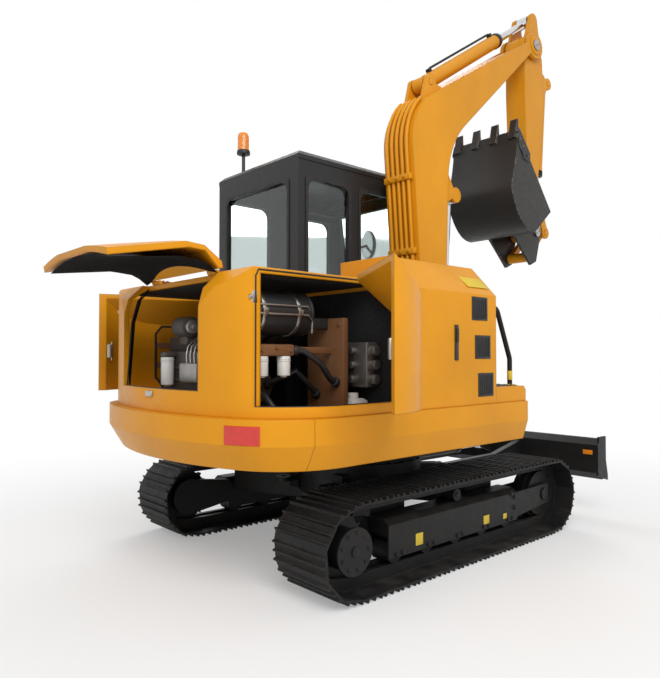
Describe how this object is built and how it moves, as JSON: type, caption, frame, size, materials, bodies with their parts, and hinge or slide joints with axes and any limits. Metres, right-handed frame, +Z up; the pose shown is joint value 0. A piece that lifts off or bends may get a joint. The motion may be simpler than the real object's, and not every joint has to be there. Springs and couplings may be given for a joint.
{
  "type": "crawler excavator",
  "caption": "Crawler excavator with a raised boom, curled bucket, dozer blade, glazed cab and an open engine bay with two side doors and a rear hood.",
  "frame": {"origin": "on the ground, at the middle of the box around the part at rest", "axes": "+X forward, +Y to the left, +Z up"},
  "size_m": [4.2178, 2.6009, 4.2448],
  "materials": {
    "beacon_amber": "translucent amber lens",
    "black_paint": "satin black enamel",
    "black_plastic": "moulded matt black",
    "cab_paint": "satin charcoal enamel",
    "chrome_rod": "polished hard chrome",
    "cylinder_paint": "gloss amber-yellow enamel",
    "engine_iron": "dark cast iron",
    "filter_paint": "white enamel",
    "glass": "clear tinted glass",
    "seat_fabric": "woven dark cloth",
    "track_steel": "dark worn steel",
    "yellow_paint": "gloss amber-yellow enamel"
  },
  "bodies": {
    "undercarriage": {"idler_left": "black_paint", "idler_right": "black_paint", "lower_frame": "black_paint", "rollers_left": "track_steel", "rollers_right": "track_steel", "sprocket_left": "black_paint", "sprocket_right": "black_paint", "swing_bearing": "track_steel", "tow_eyes": "black_paint", "track_frame_left": "black_paint", "track_frame_right": "black_paint", "track_left": "track_steel", "track_right": "track_steel"},
    "blade": {"blade": "black_paint"},
    "blade_barrel": {"blade_cylinder_barrel": "cylinder_paint"},
    "blade_rod": {"blade_cylinder_rod": "chrome_rod"},
    "boom": {"boom": "yellow_paint"},
    "boom_barrel": {"boom_cylinder_barrel": "cylinder_paint"},
    "boom_rod": {"boom_cylinder_rod": "chrome_rod"},
    "arm": {"arm": "yellow_paint"},
    "arm_barrel": {"arm_cylinder_barrel": "cylinder_paint"},
    "arm_rod": {"arm_cylinder_rod": "chrome_rod"},
    "bucket": {"bucket": "black_paint"},
    "bucket_barrel": {"bucket_cylinder_barrel": "cylinder_paint"},
    "bucket_rod": {"bucket_cylinder_rod": "chrome_rod"},
    "rocker": {"bucket_rocker": "black_paint"},
    "link": {"bucket_link": "black_paint"},
    "hood": {"hood": "yellow_paint"},
    "door_left": {"door_left": "yellow_paint"},
    "door_right": {"door_right": "yellow_paint"},
    "cab_door": {"cab_door": "cab_paint", "cab_door_glass": "glass"},
    "house": {"air_cleaner": "black_plastic", "beacon": "beacon_amber", "cab_frame": "cab_paint", "cab_glass": "glass", "cab_roof": "cab_paint", "console": "black_plastic", "counterweight": "yellow_paint", "engine": "engine_iron", "engine_cover": "yellow_paint", "fuel_filters": "filter_paint", "handrail": "black_paint", "platform": "black_paint", "radiator": "black_plastic", "right_box": "yellow_paint", "seat": "seat_fabric", "skirt_left": "yellow_paint", "skirt_right": "yellow_paint", "step_box": "yellow_paint"}
  },
  "joints": [
    {"name": "swing", "type": "hinge", "parent": "undercarriage", "child": "house", "pos_m": [-0.095, 0.191, 0.664], "axis": [0, 0, 1], "continuous": true},
    {"name": "blade_lift", "type": "hinge", "parent": "undercarriage", "child": "blade", "pos_m": [0.465, 0.191, 0.385], "axis": [0, -1, 0], "range_deg": [-34, 5]},
    {"name": "blade_barrel_pivot", "type": "hinge", "parent": "undercarriage", "child": "blade_barrel", "pos_m": [0.415, 0.191, 0.47], "axis": [0, -1, 0], "range_deg": [-32.07, 4.97]},
    {"name": "blade_rod_slide", "type": "slide", "parent": "blade_barrel", "child": "blade_rod", "axis": [1, 0, 0], "range_m": [-0.0082, 0.0441]},
    {"name": "boom_lift", "type": "hinge", "parent": "house", "child": "boom", "pos_m": [0.345, 0.001, 1.08], "axis": [0, -1, 0], "range_deg": [-92, 2]},
    {"name": "boom_barrel_pivot", "type": "hinge", "parent": "house", "child": "boom_barrel", "pos_m": [0.545, 0.001, 0.88], "axis": [0, -1, 0], "range_deg": [-90.93, 2.27]},
    {"name": "boom_rod_slide", "type": "slide", "parent": "boom_barrel", "child": "boom_rod", "axis": [0.0799, 0, 0.9968], "range_m": [-0.4079, 0.0108]},
    {"name": "arm_swing", "type": "hinge", "parent": "boom", "child": "arm", "pos_m": [1.741, 0.001, 3.926], "axis": [0, 1, 0], "range_deg": [-105, 0]},
    {"name": "arm_barrel_pivot", "type": "hinge", "parent": "boom", "child": "arm_barrel", "pos_m": [0.37, 0.001, 3.225], "axis": [0, 1, 0], "range_deg": [-1.19, 0.3]},
    {"name": "arm_rod_slide", "type": "slide", "parent": "arm_barrel", "child": "arm_rod", "axis": [0.828, 0, 0.5607], "range_m": [-0.431, 0.002]},
    {"name": "bucket_curl", "type": "hinge", "parent": "arm", "child": "bucket", "pos_m": [1.755, 0.001, 2.288], "axis": [0, 1, 0], "range_deg": [-155, 5]},
    {"name": "rocker_pivot", "type": "hinge", "parent": "arm", "child": "rocker", "pos_m": [1.777, 0.001, 2.604], "axis": [0, 1, 0], "range_deg": [-93.49, 3.31]},
    {"name": "link_pivot", "type": "hinge", "parent": "rocker", "child": "link", "pos_m": [1.92327, 0.001, 2.30819], "axis": [0, 1, 0], "range_deg": [-2.33, 63.28]},
    {"name": "bucket_barrel_pivot", "type": "hinge", "parent": "arm", "child": "bucket_barrel", "pos_m": [2.057, 0.001, 3.694], "axis": [0, 1, 0], "range_deg": [-9.51, 0.6]},
    {"name": "bucket_rod_slide", "type": "slide", "parent": "bucket_barrel", "child": "bucket_rod", "axis": [-0.0961, 0, -0.9954], "range_m": [-0.4478, 0.0164]},
    {"name": "hood_hinge", "type": "hinge", "parent": "house", "child": "hood", "pos_m": [-1.472, 0.191, 1.66], "axis": [0, 1, 0], "range_deg": [-79, 0]},
    {"name": "door_right_hinge", "type": "hinge", "parent": "house", "child": "door_right", "pos_m": [-0.763, -0.783, 1.3], "axis": [0, 0, 1], "range_deg": [-57, 45]},
    {"name": "door_left_hinge", "type": "hinge", "parent": "house", "child": "door_left", "pos_m": [-0.763, 1.165, 1.3], "axis": [0, 0, -1], "range_deg": [-19, 83]},
    {"name": "cab_door_hinge", "type": "hinge", "parent": "house", "child": "cab_door", "pos_m": [-0.029, 1.175, 1.6], "axis": [0, 0, -1], "range_deg": [-165, 0]}
  ],
  "couplings": [
    {"joint": "blade_barrel_pivot", "follows": "blade_lift", "ratio": 0.9344},
    {"joint": "blade_rod_slide", "follows": "blade_lift", "m_per_rad": -0.0709},
    {"joint": "boom_barrel_pivot", "follows": "boom_lift", "ratio": 0.9851},
    {"joint": "boom_rod_slide", "follows": "boom_lift", "m_per_rad": 0.2528},
    {"joint": "arm_barrel_pivot", "follows": "arm_swing", "ratio": 0.0085},
    {"joint": "arm_rod_slide", "follows": "arm_swing", "m_per_rad": 0.2341},
    {"joint": "rocker_pivot", "follows": "bucket_curl", "ratio": 0.6012},
    {"joint": "link_pivot", "follows": "bucket_curl", "ratio": -0.4063},
    {"joint": "bucket_barrel_pivot", "follows": "bucket_curl", "ratio": 0.0594},
    {"joint": "bucket_rod_slide", "follows": "bucket_curl", "m_per_rad": 0.1648}
  ]
}
